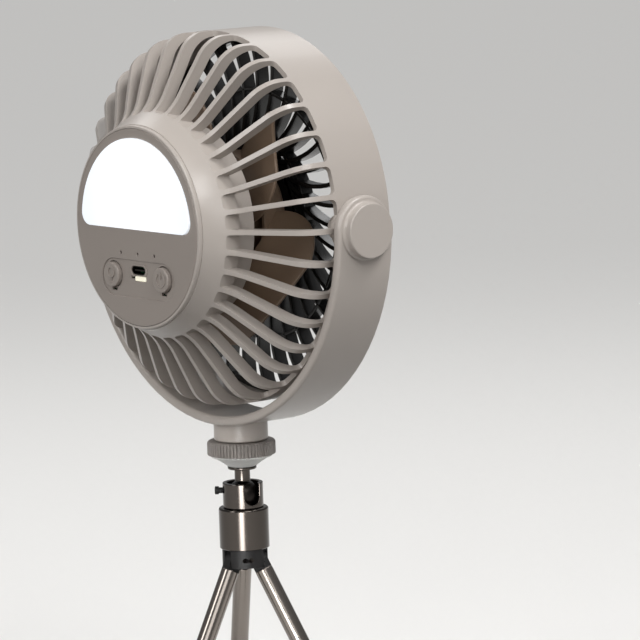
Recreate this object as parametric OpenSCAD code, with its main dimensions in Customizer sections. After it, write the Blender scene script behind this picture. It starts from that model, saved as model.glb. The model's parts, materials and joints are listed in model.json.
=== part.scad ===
// Portable camping fan with a lamp on its back, held by a yoke on a ball joint
// and three telescopic legs. Millimetres, +Z up. The outlet faces -Y, the lamp
// and the buttons face +Y, and the feet stand on z = 0.

/* [Drum] */
// Outer radius of the fan drum
drum_r = 75; // [74:0.5:76]
// Wall thickness of the drum
drum_wall = 2.2; // [1.8:0.1:2.6]
// Distance from the tilt axis forward to the outlet edge
drum_front = 19; // [17:0.5:21]
// Number of ribs on the back of the drum
rib_count = 36; // [24:12:36]
// Thickness of one rib
rib_t = 2; // [1.6:0.1:2.4]
// Axial depth of the ribs
rib_depth = 4.5; // [4:0.1:5]
// Radius of the bend from the drum wall to the back
bend_r = 13.5; // [13:0.1:14]
// Slope of the straight part of the back, in degrees
back_slope = 28.5; // [28:0.1:29]

/* [Lamp panel] */
// Distance from the tilt axis back to the face of the panel
panel_y = 48.7; // [48.5:0.1:49]
// Radius of the lamp cover
lens_r = 35.7; // [35:0.1:36]
// Diameter of a button
button_d = 10; // [9:0.5:10]
// Distance of each button from the middle
button_x = 16.3; // [15.5:0.1:17]
// Travel of a button
button_travel = 0.4; // [0.2:0.05:0.5]

/* [Impeller and motor] */
// Number of blades
blade_count = 5; // [3:1:7]
// Radius at the blade tips
blade_tip_r = 57; // [50:0.5:58]
// Radius of the impeller hub
hub_r = 17.4; // [17.2:0.1:19]

/* [Yoke] */
// Inner radius of the yoke ring
yoke_r = 79.4; // [79.2:0.1:80]
// Thickness of the yoke ring
yoke_t = 4; // [3.5:0.1:4.5]
// Width of the yoke ring
yoke_w = 27; // [26:0.5:28]

/* [Tripod] */
// Length of a folded leg from its pin to the middle of the foot
leg_length = 100; // [98:0.5:104]
// Angle of an open leg to the upright, in degrees
leg_splay = 27; // [25:0.5:28]
// Outer radius of the upper leg tube
leg_r = 4; // [3.9:0.05:4]
// Radius of the ball
ball_r = 6.3; // [6.2:0.05:6.3]

/* [Hidden] */
$fn = 96;

// heights of the stand, from the tilt axis of the head
nut_top = -90.6;
knurl_bottom = -96.5;
cone_bottom = -101.4;
disc_bottom = -103.1;
cup_top = -108.1;
ball_z = -113.3;
cup_bottom = -118.2;
tube_bottom = -134.9;
pin_drop = -139;

// placing the stand on the floor
foot_r = 4.6;
foot_z = 4;
leg_pin_r = 5.5;
leg_angles = [90, 210, 330];
foot_reach = leg_pin_r + leg_length * sin(leg_splay);
pin_z = foot_z + leg_length * cos(leg_splay);
pivot_z = pin_z - pin_drop;
stem_y = -foot_reach / 4;

// outline of the back: bend, straight, dish, flare and rim
bend_c = [drum_r - bend_r, 11.8];
bend_end = bend_c + bend_r * [sin(back_slope), cos(back_slope)];
flat_end = bend_end + 18.5 * [-cos(back_slope), sin(back_slope)];
dish_r = 20;
dish_c = flat_end + dish_r * [sin(back_slope), cos(back_slope)];
root_slope = 57;
root = dish_c - dish_r * [sin(root_slope), cos(root_slope)];
flare_r = 40;
flare_c = root + flare_r * [sin(root_slope), cos(root_slope)];
flare_slope = 71;
flare_end = flare_c - flare_r * [sin(flare_slope), cos(flare_slope)];
rim_r = 0.8;
rim_c = flare_end - rim_r * [sin(flare_slope), cos(flare_slope)];
grille_bars = 36;
slot_front = 7;
slot_root = root[0] + 0.3;
slot_round = 1.4;

// panel and boards
panel_r = 39.2;
panel_back = panel_y - 1.8;
recess_y = panel_y - 0.8;
recess_v = -20.6;
recess_r = 7.3;
button_v = -19.6;
button_top = panel_y + 1.4;
port_v = -17.1;
dot_v = -10.6;
dot_x = 11;
board_back = 44.2;
board_front = 42.6;
lug_angles = [20, 160, 200, 340];
tub_screw_angles = [45:90:315];
lug_r = 33.8;

// motor tub and motor
tub_r = 39.4;
tub_front = 20.4;
tub_back = 38.1;
cell_y = 31.8;
motor_plate = 17.4;
motor_screw_angles = [65, 115, 245, 295];

// pivots of the head
boss_x = 76.6;
pad_x = 77.5;
screw_r = 3;
cap_x = 87;
yoke_edge = 1.5;

// ball joint and legs
slot_angle = 172;
lock_angle = 45;
lock_z = -111.5;
tube_top = 5.2;
outer_end = 86;
middle_end = 89.5;
inner_end = 93;
middle_r = leg_r - 0.7;
inner_r = middle_r - 0.7;
running_gap = 0.08;

// ---------- frames and small helpers ----------

// x to the right as seen from behind, y up, z backward from the tilt axis
module head_frame() {
    translate([0, stem_y, pivot_z]) rotate([90, 0, 180]) children();
}

// axes of the part, origin on the tilt axis above the stem
module stem_frame() {
    translate([0, stem_y, pivot_z]) children();
}

// z runs up along an open leg from its foot to the pin at the origin
module leg_frame(azimuth) {
    translate([0, stem_y, pin_z])
        rotate([0, 0, azimuth])
            translate([leg_pin_r, 0, 0])
                rotate([0, -leg_splay, 0])
                    children();
}

module disc(r, from, to) {
    translate([0, 0, from]) cylinder(r = r, h = to - from);
}

module ring(r_out, r_in, from, to) {
    translate([0, 0, from])
        linear_extrude(to - from)
            difference() {
                circle(r_out);
                circle(r_in);
            }
}

// a cylinder along +x from one distance to another
module x_disc(r, from, to) {
    translate([from, 0, 0]) rotate([0, 90, 0]) cylinder(r = r, h = to - from);
}

module around(angles, distance) {
    for (a = angles) rotate([0, 0, a]) translate([distance, 0, 0]) children();
}

module both_sides() {
    children();
    mirror([1, 0, 0]) children();
}

// a slot shape with round ends, lying along x
module stadium(length, r) {
    square([length - 2 * r, 2 * r], center = true);
    for (s = [-1, 1]) translate([s * (length / 2 - r), 0]) circle(r);
}

// ---------- housing of the head ----------

// half section below the outer curve of the back, x is the radius
module under_back_curve(front) {
    difference() {
        union() {
            translate([0, -front]) square([drum_r, front + bend_c[1]]);
            translate(bend_c) circle(bend_r);
            polygon([[0, bend_c[1]], bend_c, bend_end, flat_end, root, [0, root[1]]]);
        }
        translate(dish_c) circle(dish_r);
    }
}

// half section of the drum and of the curved back before its slots are cut
module drum_section() {
    difference() {
        under_back_curve(drum_front);
        translate([-drum_wall, -rib_depth]) under_back_curve(drum_front + 10);
        translate([0, -drum_front]) square([43, drum_front + panel_y]);
    }
}

// half section of the ring that carries the panel and the tub
module shoulder_section() {
    difference() {
        union() {
            polygon([
                [37.6, 31.5], [root[0], 31.5], root, flare_end,
                rim_c + [0, rim_r], [37.6, rim_c[1] + rim_r]
            ]);
            translate(rim_c) circle(rim_r);
        }
        translate(flare_c) circle(flare_r);
        polygon([[37, 31], [42.3, 31], [42.3, 38.2], [40.2, 38.2], [40.2, 42], [37.6, 44.6], [37, 44.6]]);
        translate([37, panel_back]) square([panel_r + 0.1 - 37, 4]);
    }
}

// outline of the gap between two ribs, narrowed on each side by inset
module slot_outline(inset, from, to) {
    half = 180 / rib_count;
    edge = (rib_t / 2 + inset) / cos(half);
    polygon([
        [from, from * tan(half) - edge], [to, to * tan(half) - edge],
        [to, edge - to * tan(half)], [from, edge - from * tan(half)]
    ]);
}

// one gap between two ribs with rounded corners at both ends
module back_slot() {
    half = 180 / rib_count;
    c_x = slot_root + slot_round;
    c_y = c_x * tan(half) - (rib_t / 2 + slot_round) / cos(half);
    side_x = c_x - slot_round * sin(half);
    translate([0, 0, slot_front + slot_round])
        linear_extrude(40)
            union() {
                slot_outline(0, side_x, drum_r + 5);
                slot_outline(slot_round, slot_root, c_x);
                for (s = [-1, 1]) translate([c_x, s * c_y]) circle(slot_round);
            }
    translate([0, 0, slot_front])
        linear_extrude(slot_round + 0.01)
            slot_outline(slot_round, drum_r - 10, drum_r + 5);
    for (s = [-1, 1])
        rotate([0, 0, s * half])
            translate([0, -s * (rib_t / 2 + slot_round), slot_front + slot_round])
                x_disc(slot_round, drum_r - 10, drum_r + 5);
}

// boss under the shoulder that takes a screw, joined to the wall by a web
module housing_lug() {
    disc(3.2, 38.2, 42.5);
    translate([0, -3.2, 38.2]) cube([7, 6.4, 4.3]);
}

module rear_housing() {
    color([0.72, 0.69, 0.66])
        head_frame()
            difference() {
                union() {
                    difference() {
                        rotate_extrude() drum_section();
                        for (i = [0:rib_count - 1])
                            rotate([0, 0, (i + 0.5) * 360 / rib_count]) back_slot();
                    }
                    rotate_extrude() shoulder_section();
                    around(lug_angles, lug_r) housing_lug();
                    around(tub_screw_angles, lug_r) housing_lug();
                    both_sides() {
                        x_disc(9, drum_r - 1.5, boss_x);
                        x_disc(5.2, 66, drum_r - 1);
                    }
                }
                around(lug_angles, lug_r) disc(1.35, 38, 43);
                around(tub_screw_angles, lug_r) disc(1.35, 38, 43);
                both_sides() x_disc(3.6, 65, boss_x + 1);
            }
}

// flat bars that lean the same way around a plain centre, with two rings
module grille_outline() {
    circle(22);
    for (r = [42, 59])
        difference() {
            circle(r);
            circle(r - 1.6);
        }
    for (i = [0:grille_bars - 1])
        rotate(i * 360 / grille_bars) translate([17, 11.2]) square([54.2, 1.6]);
}

module front_grille() {
    seat_r = drum_r - drum_wall - 0.05;
    color([0.2, 0.2, 0.2])
        head_frame()
            union() {
                ring(seat_r, seat_r - 2.6, -drum_front, 5 - drum_front);
                translate([0, 0, 1 - drum_front]) linear_extrude(3) grille_outline();
                disc(20, 0.4 - drum_front, 2 - drum_front);
            }
}

// ---------- lamp panel ----------

// outline of the lamp: a disc cut by a level line, with round corners
module lamp_outline(inset) {
    corner = 4 - inset;
    r = lens_r - inset;
    flat = -1.5 + inset;
    c_y = flat + corner;
    c_x = sqrt((r - corner) * (r - corner) - c_y * c_y);
    side_y = c_y * r / (r - corner);
    intersection() {
        circle(r);
        translate([-r, side_y]) square([2 * r, r]);
    }
    translate([-c_x, flat]) square([2 * c_x, side_y - flat]);
    for (s = [-1, 1]) translate([s * c_x, c_y]) circle(corner);
}

module control_panel() {
    color([0.52, 0.49, 0.46])
        head_frame()
            difference() {
                disc(panel_r, panel_back, panel_y);
                translate([0, 0, panel_back + 0.8]) linear_extrude(2) lamp_outline(-0.1);
                translate([0, 0, panel_back - 1]) linear_extrude(4) lamp_outline(1.6);
                translate([0, recess_v, recess_y])
                    linear_extrude(2) stadium(2 * (button_x + recess_r), recess_r);
                for (s = [-1, 1]) {
                    translate([s * button_x, button_v, 0])
                        disc(button_d / 2 + 0.4, panel_back - 1, panel_y + 1);
                    translate([s * button_x - 1.6, button_v - button_d / 2 - 1.6, panel_back - 1])
                        cube([3.2, 3, 4]);
                }
                translate([0, port_v, panel_back - 1]) linear_extrude(4) stadium(9.2, 1.75);
                translate([-3.6, port_v - 4.5, panel_back - 1]) cube([8.2, 2.3, 4]);
                for (i = [-1:1])
                    translate([i * dot_x, dot_v, 0]) disc(0.6, panel_back - 1, panel_y + 1);
            }
}

module light_lens() {
    color([0.97, 0.97, 0.98])
        head_frame()
            union() {
                translate([0, 0, panel_back + 0.8]) linear_extrude(1.4) lamp_outline(0);
                translate([0, 0, panel_back + 2.2]) linear_extrude(0.3) lamp_outline(0.4);
            }
}

// outline shared by the two boards, on one side of the level line
module board_outline(low, high) {
    intersection() {
        circle(37.2);
        translate([-40, low]) square([80, high - low]);
    }
}

module board_plate(low, high) {
    difference() {
        translate([0, 0, board_front]) linear_extrude(board_back - board_front) board_outline(low, high);
        around(lug_angles, lug_r) disc(1.35, 40, 50);
    }
}

module light_board() {
    color([0.92, 0.92, 0.9]) head_frame() board_plate(-1, 40);
}

module lamp_leds() {
    color([0.98, 0.93, 0.7])
        head_frame()
            for (u = [-24:8:24], v = [5:7.5:28])
                if (norm([u, v]) < 30)
                    translate([u - 1.4, v - 1.4, board_back]) cube([2.8, 2.8, 0.8]);
}

module control_board() {
    color([0.1, 0.35, 0.2]) head_frame() board_plate(-40, -1.5);
}

module usb_socket() {
    color([0.75, 0.75, 0.76])
        head_frame()
            translate([0, port_v, 0]) {
                difference() {
                    translate([0, 0, board_back]) linear_extrude(recess_y - board_back) stadium(8.94, 1.6);
                    translate([0, 0, board_back + 1]) linear_extrude(5) stadium(8.34, 1.3);
                }
                translate([-3.3, -0.35, board_back + 0.5]) cube([6.6, 0.7, 2.8]);
            }
}

module charge_window() {
    color([0.98, 0.96, 0.85])
        head_frame()
            translate([0, port_v - 4.4, board_back]) cube([4.5, 2.1, recess_y - board_back]);
}

module indicator_lights() {
    color([0.25, 0.25, 0.28])
        head_frame()
            for (i = [-1:1])
                translate([i * dot_x - 0.8, dot_v - 0.4, board_back]) cube([1.6, 0.8, 0.6]);
}

module tact_switches() {
    color([0.15, 0.15, 0.15])
        head_frame()
            for (s = [-1, 1])
                translate([s * button_x, button_v, 0]) {
                    translate([-2.6, -2.6, board_back]) cube([5.2, 5.2, 0.9]);
                    disc(1.2, board_back + 0.8, board_back + 1.1);
                }
}

// plain cap of a button with a flange behind the panel
module button_body(side) {
    translate([side * button_x, button_v, 0])
        difference() {
            union() {
                disc(button_d / 2, panel_back - 0.8, button_top - 0.5);
                disc(button_d / 2 - 0.5, panel_back - 0.8, button_top);
                disc(button_d / 2 + 1.1, panel_back - 0.85, panel_back - 0.15);
                disc(1.5, panel_back - 1.1, panel_back);
            }
            ring(button_d / 2 - 1.1, button_d / 2 - 1.5, button_top - 0.15, button_top + 1);
            children();
        }
}

module light_button() {
    color([0.56, 0.53, 0.5])
        head_frame()
            button_body(-1)
                translate([0, 0, button_top - 0.2]) {
                    translate([0, 0.7, 0]) ring(1.8, 1.3, 0, 1);
                    translate([-0.8, -1.9, 0]) cube([1.6, 0.45, 1]);
                    translate([-0.8, -2.7, 0]) cube([1.6, 0.45, 1]);
                }
}

module power_button() {
    color([0.56, 0.53, 0.5])
        head_frame()
            button_body(1)
                translate([0, 0, button_top - 0.2]) {
                    difference() {
                        ring(2.1, 1.6, 0, 1);
                        translate([-0.8, 0.5, -1]) cube([1.6, 3, 3]);
                    }
                    translate([-0.25, 0.2, 0]) cube([0.5, 2.2, 1]);
                }
}

// ---------- battery, tub and motor ----------

module battery_cell() {
    color([0.25, 0.45, 0.65])
        head_frame()
            translate([0, 0, cell_y]) {
                x_disc(9, -32.5, 31.5);
                x_disc(2.8, 31.5, 32.5);
            }
}

module battery_cradle() {
    color([0.15, 0.15, 0.15])
        head_frame()
            difference() {
                translate([-33.9, -9.9, tub_front + 2]) cube([67.8, 19.8, 11]);
                translate([0, 0, cell_y]) x_disc(9, -32.5, 32.5);
                translate([-32.5, -9, cell_y]) cube([65, 18, 10]);
            }
}

module motor_tub() {
    color([0.42, 0.37, 0.33])
        head_frame()
            difference() {
                union() {
                    disc(tub_r, tub_front, tub_back);
                    disc(42.1, tub_back - 2.2, tub_back);
                }
                difference() {
                    disc(tub_r - 2, tub_front + 2, tub_back + 1);
                    around(tub_screw_angles, lug_r) disc(3.2, tub_front, tub_back);
                }
                around(tub_screw_angles, lug_r) disc(1.35, tub_front - 1, tub_back + 1);
                around(tub_screw_angles, lug_r) disc(2.4, tub_front - 1, tub_back - 5);
                around(motor_screw_angles, 13.4) disc(1.05, tub_front - 1, tub_front + 3);
                disc(3.4, tub_front - 1, tub_front + 1.2);
            }
}

module tub_screws() {
    color("silver")
        head_frame()
            around(tub_screw_angles, lug_r) {
                disc(1.3, tub_back - 6, 42.2);
                disc(2.2, tub_back - 6.6, tub_back - 5);
            }
}

module board_screws() {
    color("silver")
        head_frame()
            around(lug_angles, lug_r) {
                disc(1.3, 38.4, board_back);
                disc(2.2, board_back, board_back + 1.3);
            }
}

module motor_screws() {
    color("silver")
        head_frame()
            around(motor_screw_angles, 13.4) {
                disc(1, motor_plate + 0.3, tub_front + 2);
                disc(1.8, tub_front + 2, tub_front + 3.2);
            }
}

module motor_base() {
    color([0.12, 0.12, 0.12])
        head_frame()
            difference() {
                union() {
                    disc(15.6, motor_plate, tub_front);
                    disc(5.2, 5.5, motor_plate);
                }
                disc(4, 5, 18.4);
                disc(3.2, 18, tub_front + 1);
                around(motor_screw_angles, 13.4) disc(1.05, motor_plate - 1, tub_front + 1);
            }
}

module motor_bearings() {
    color("silver")
        head_frame() {
            ring(4, 1.52, 6, 10);
            ring(4, 1.52, 14.4, 18.4);
        }
}

module motor_stator() {
    color([0.35, 0.35, 0.36])
        head_frame()
            translate([0, 0, 7])
                linear_extrude(7)
                    union() {
                        difference() {
                            circle(7);
                            circle(5.2);
                        }
                        for (a = [0:40:320])
                            rotate(a) {
                                translate([6.4, -0.8]) square([5.2, 1.6]);
                                intersection() {
                                    difference() {
                                        circle(12.2);
                                        circle(11);
                                    }
                                    translate([10, -3.2]) square([3, 6.4]);
                                }
                            }
                    }
}

// one coil on each tooth of the stator
module motor_coils() {
    color([0.72, 0.4, 0.15])
        head_frame()
            for (a = [0:40:320])
                rotate([0, 0, a])
                    difference() {
                        translate([7.4, -1.9, 6]) cube([3.4, 3.8, 9]);
                        translate([7, -0.85, 6.95]) cube([4, 1.7, 7.1]);
                    }
}

module motor_rotor() {
    color([0.3, 0.3, 0.31])
        head_frame()
            difference() {
                disc(15, 3.4, 16.6);
                disc(14, 4.6, 17);
                disc(1.5, 3, 5);
            }
}

module rotor_magnet() {
    color([0.18, 0.18, 0.18]) head_frame() ring(14, 12.6, 5, 16.4);
}

module motor_shaft() {
    color("silver") head_frame() disc(1.5, -3, 19.8);
}

module shaft_clip() {
    color("silver") head_frame() ring(2.7, 1.5, 18.7, 19.2);
}

// circular arc plate, concave towards the outlet, edge on
module blade_section() {
    chord = 50;
    camber_r = 75;
    pitch = 27;
    rise = sqrt(camber_r * camber_r - chord * chord / 4);
    translate([0, 4.5])
        rotate(-pitch)
            translate([0, -rise])
                intersection() {
                    difference() {
                        circle(camber_r + 0.7);
                        circle(camber_r - 0.7);
                    }
                    translate([-chord / 2, 0]) square([chord, 2 * camber_r]);
                }
}

// outline of one blade seen along the fan axis
module blade_outline() {
    intersection() {
        circle(blade_tip_r);
        union() {
            translate([37, -2]) circle(23.5);
            translate([hub_r - 3, -10]) square([22, 20]);
        }
    }
}

module blade() {
    intersection() {
        translate([hub_r - 2, 0, 0])
            rotate([90, 0, 90]) linear_extrude(50) blade_section();
        translate([0, 0, -20]) linear_extrude(60) blade_outline();
    }
}

module impeller() {
    color([0.4, 0.33, 0.28])
        head_frame()
            difference() {
                union() {
                    rotate_extrude()
                        union() {
                            translate([0, -7]) square([hub_r - 3, 24]);
                            translate([0, -4]) square([hub_r, 21]);
                            translate([hub_r - 3, -4]) circle(3);
                        }
                    for (i = [0:blade_count - 1]) rotate([0, 0, i * 360 / blade_count]) blade();
                }
                disc(15, 3.4, 30);
                ring(13, 4.5, -4.6, 4);
                disc(1.5, -5, 5);
            }
}

// ---------- tilt pivots and yoke ----------

module pivot_inserts() {
    color([0.78, 0.6, 0.25])
        stem_frame()
            both_sides()
                difference() {
                    x_disc(3.6, 67, boss_x - 0.2);
                    x_disc(2, 66, boss_x + 1);
                }
}

module pivot_screws() {
    color("silver")
        stem_frame()
            both_sides() {
                x_disc(2, 67.2, boss_x);
                x_disc(screw_r, boss_x - 0.2, yoke_r + yoke_t + 0.3);
                x_disc(5.6, yoke_r + yoke_t + 0.2, yoke_r + yoke_t + 1.8);
            }
}

module friction_washers() {
    color([0.9, 0.9, 0.88])
        stem_frame()
            both_sides()
                difference() {
                    x_disc(8.8, boss_x + 0.1, pad_x);
                    x_disc(screw_r + 0.05, boss_x - 1, pad_x + 1);
                }
}

// cross section of the ring, x is the distance from its centre
module yoke_section() {
    union() {
        translate([yoke_r, -yoke_w / 2]) square([yoke_t - yoke_edge, yoke_w]);
        translate([yoke_r, yoke_edge - yoke_w / 2]) square([yoke_t, yoke_w - 2 * yoke_edge]);
        for (s = [-1, 1])
            translate([yoke_r + yoke_t - yoke_edge, s * (yoke_w / 2 - yoke_edge)]) circle(yoke_edge);
    }
}

// round upper end of an arm, about the tilt axis
module yoke_end() {
    rotate([0, 90, 0])
        rotate([0, 0, 90])
            rotate_extrude(angle = 180)
                union() {
                    translate([0, yoke_r]) square([yoke_w / 2, yoke_t - yoke_edge]);
                    translate([0, yoke_r]) square([yoke_w / 2 - yoke_edge, yoke_t]);
                    translate([yoke_w / 2 - yoke_edge, yoke_r + yoke_t - yoke_edge]) circle(yoke_edge);
                }
}

module yoke() {
    color([0.72, 0.69, 0.66])
        stem_frame()
            difference() {
                union() {
                    rotate([-90, 0, 0]) rotate_extrude(angle = 180) yoke_section();
                    both_sides() {
                        yoke_end();
                        x_disc(11, pad_x, yoke_r + 0.5);
                    }
                    disc(10.95, nut_top, -yoke_r - 1.6);
                }
                both_sides() x_disc(screw_r + 0.05, pad_x - 1, yoke_r + yoke_t + 1);
                disc(5, nut_top - 1, -82);
            }
}

// cap over the head of a pivot screw, with a bevelled edge
module pivot_cap() {
    rotate([0, 90, 0])
        rotate_extrude()
            difference() {
                polygon([
                    [0, yoke_r + yoke_t], [12.2, yoke_r + yoke_t], [12.2, cap_x - 1.7],
                    [10.35, cap_x], [0, cap_x]
                ]);
                translate([0, yoke_r]) square([6.2, yoke_t + 2.2]);
            }
}

module pivot_caps() {
    color([0.72, 0.69, 0.66]) stem_frame() both_sides() pivot_cap();
}

module thread_insert() {
    color([0.78, 0.6, 0.25]) stem_frame() ring(5, 3.22, nut_top + 0.2, -82);
}

// ---------- locking nut, ball and body ----------

// grip ring with fine teeth and a rounded upper edge
module lock_nut() {
    teeth = 60;
    color([0.5, 0.47, 0.45])
        stem_frame()
            difference() {
                intersection() {
                    translate([0, 0, knurl_bottom])
                        linear_extrude(nut_top - 0.2 - knurl_bottom)
                            polygon([
                                for (i = [0:2 * teeth - 1])
                                    (i % 2 == 0 ? 13.85 : 13.3) * [cos(i * 180 / teeth), sin(i * 180 / teeth)]
                            ]);
                    rotate_extrude()
                        union() {
                            translate([0, knurl_bottom]) square([13.9, 4.4]);
                            translate([0, knurl_bottom]) square([12.4, nut_top - 0.2 - knurl_bottom]);
                            translate([12.6, nut_top - 1.5]) circle(1.3);
                        }
                }
                disc(3.22, knurl_bottom - 1, nut_top + 1);
            }
}

module nut_cone() {
    color([0.66, 0.66, 0.65])
        stem_frame()
            rotate_extrude()
                polygon([
                    [3.22, cone_bottom], [5.5, cone_bottom], [12.3, knurl_bottom - 0.9],
                    [12.9, knurl_bottom], [3.22, knurl_bottom]
                ]);
}

module ball_stem() {
    color([0.8, 0.8, 0.8])
        stem_frame()
            union() {
                translate([0, 0, ball_z]) sphere(ball_r);
                disc(3.15, ball_z, disc_bottom);
            }
}

module platform_disc() {
    color([0.8, 0.8, 0.8]) stem_frame() disc(5.5, disc_bottom, cone_bottom - 0.1);
}

module mount_stud() {
    color("silver")
        stem_frame()
            union() {
                disc(3.175, cone_bottom - 0.1, -83.4);
                disc(2.6, -83.4, -82.8);
            }
}

module ball_cup() {
    slot_half = 3.45;
    color([0.78, 0.78, 0.78])
        stem_frame()
            difference() {
                union() {
                    disc(8.2, cup_bottom, cup_top);
                    disc(6, cup_bottom - 5.8, cup_bottom);
                }
                translate([0, 0, ball_z]) sphere(ball_r + 0.1);
                disc(5, ball_z + 3, cup_top + 1);
                disc(3.5, cup_bottom - 4.3, ball_z);
                rotate([0, 0, slot_angle]) {
                    translate([0, 0, ball_z]) x_disc(slot_half, 0, 12);
                    translate([0, -slot_half, ball_z]) cube([12, 2 * slot_half, 12]);
                }
                rotate([0, 0, lock_angle]) translate([0, 0, lock_z]) x_disc(1, 4, 12);
            }
}

module ball_pad() {
    color([0.9, 0.9, 0.88])
        stem_frame()
            difference() {
                disc(3.45, cup_bottom - 4.3, ball_z - 5.4);
                translate([0, 0, ball_z]) sphere(ball_r + 0.1);
            }
}

module lock_screw() {
    color([0.7, 0.7, 0.7])
        stem_frame()
            rotate([0, 0, lock_angle])
                translate([0, 0, lock_z])
                    union() {
                        x_disc(0.95, 6.6, 9);
                        difference() {
                            x_disc(1.65, 8.7, 11.3);
                            translate([10.8, -2, -0.25]) cube([1, 4, 0.5]);
                        }
                    }
}

module body_tube() {
    color([0.78, 0.78, 0.78])
        stem_frame()
            difference() {
                rotate_extrude()
                    union() {
                        translate([0, tube_bottom]) square([10.1, cup_bottom - 1 - tube_bottom]);
                        translate([0, tube_bottom]) square([9.1, cup_bottom - tube_bottom]);
                        translate([9.1, cup_bottom - 1]) circle(1);
                    }
                disc(9, tube_bottom - 1, cup_bottom - 2.8);
                disc(6, cup_bottom - 4, cup_bottom + 1);
            }
}

module leg_hub() {
    color([0.08, 0.08, 0.08])
        translate([0, stem_y, pin_z])
            difference() {
                union() {
                    disc(9, 3, tube_bottom - pin_drop + 6);
                    disc(9.2, -3.3, tube_bottom - pin_drop);
                }
                for (a = leg_angles)
                    rotate([0, 0, a]) {
                        translate([1.8, -2.1, -5]) cube([12, 4.2, 8.7]);
                        translate([leg_pin_r, 8, 0]) rotate([90, 0, 0]) cylinder(r = 1, h = 16);
                    }
            }
}

module leg_pins() {
    color("silver")
        translate([0, stem_y, pin_z])
            for (a = leg_angles)
                rotate([0, 0, a])
                    translate([leg_pin_r, 6.5, 0]) rotate([90, 0, 0]) cylinder(r = 1, h = 13);
}

// ---------- legs ----------

module leg_knuckle(azimuth) {
    color([0.08, 0.08, 0.08])
        leg_frame(azimuth)
            difference() {
                union() {
                    translate([0, 2, 0]) rotate([90, 0, 0]) cylinder(r = 3.3, h = 4);
                    translate([-3, -2, -tube_top - 1]) cube([6, 4, tube_top + 1]);
                    disc(leg_r - 0.62, -12, -tube_top);
                }
                translate([0, 3, 0]) rotate([90, 0, 0]) cylinder(r = 1.05, h = 6);
            }
}

module leg_outer(azimuth) {
    color([0.8, 0.8, 0.8])
        leg_frame(azimuth) ring(leg_r, middle_r + running_gap, -outer_end, -tube_top);
}

module leg_middle(azimuth) {
    color([0.8, 0.8, 0.8])
        leg_frame(azimuth) ring(middle_r, inner_r + running_gap, -middle_end, -12.4);
}

// inner tube with its rubber foot, cut level where it meets the floor
module leg_inner(azimuth) {
    color([0.8, 0.8, 0.8]) leg_frame(azimuth) disc(inner_r, -inner_end, -14);
}

module leg_foot(azimuth) {
    color([0.1, 0.1, 0.1])
        difference() {
            leg_frame(azimuth)
                difference() {
                    union() {
                        disc(leg_r, -leg_length, -inner_end - 0.1);
                        translate([0, 0, -leg_length]) sphere(foot_r);
                    }
                    disc(inner_r, -inner_end, 0);
                }
            translate([-200, -200, -20]) cube([400, 400, 20]);
        }
}

module knuckle_back() { leg_knuckle(leg_angles[0]); }
module knuckle_left() { leg_knuckle(leg_angles[1]); }
module knuckle_right() { leg_knuckle(leg_angles[2]); }
module leg_outer_back() { leg_outer(leg_angles[0]); }
module leg_outer_left() { leg_outer(leg_angles[1]); }
module leg_outer_right() { leg_outer(leg_angles[2]); }
module leg_middle_back() { leg_middle(leg_angles[0]); }
module leg_middle_left() { leg_middle(leg_angles[1]); }
module leg_middle_right() { leg_middle(leg_angles[2]); }
module leg_inner_back() { leg_inner(leg_angles[0]); }
module leg_inner_left() { leg_inner(leg_angles[1]); }
module leg_inner_right() { leg_inner(leg_angles[2]); }
module leg_foot_back() { leg_foot(leg_angles[0]); }
module leg_foot_left() { leg_foot(leg_angles[1]); }
module leg_foot_right() { leg_foot(leg_angles[2]); }

rear_housing();
front_grille();
control_panel();
light_lens();
light_board();
lamp_leds();
control_board();
usb_socket();
charge_window();
indicator_lights();
tact_switches();
light_button();
power_button();
battery_cell();
battery_cradle();
motor_tub();
motor_base();
motor_bearings();
motor_stator();
motor_coils();
motor_rotor();
rotor_magnet();
motor_shaft();
shaft_clip();
impeller();
tub_screws();
board_screws();
motor_screws();
pivot_inserts();
pivot_screws();
yoke();
pivot_caps();
friction_washers();
thread_insert();
lock_nut();
nut_cone();
ball_stem();
platform_disc();
mount_stud();
ball_cup();
ball_pad();
body_tube();
leg_hub();
leg_pins();
lock_screw();
knuckle_back();
knuckle_left();
knuckle_right();
leg_outer_back();
leg_outer_left();
leg_outer_right();
leg_middle_back();
leg_middle_left();
leg_middle_right();
leg_inner_back();
leg_inner_left();
leg_inner_right();
leg_foot_back();
leg_foot_left();
leg_foot_right();
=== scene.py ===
# Camping fan with a rear lamp, held by a half-ring yoke on a ball joint and a small tripod.
import json
import math

import bmesh
import bpy
from mathutils import Matrix, Vector

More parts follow.
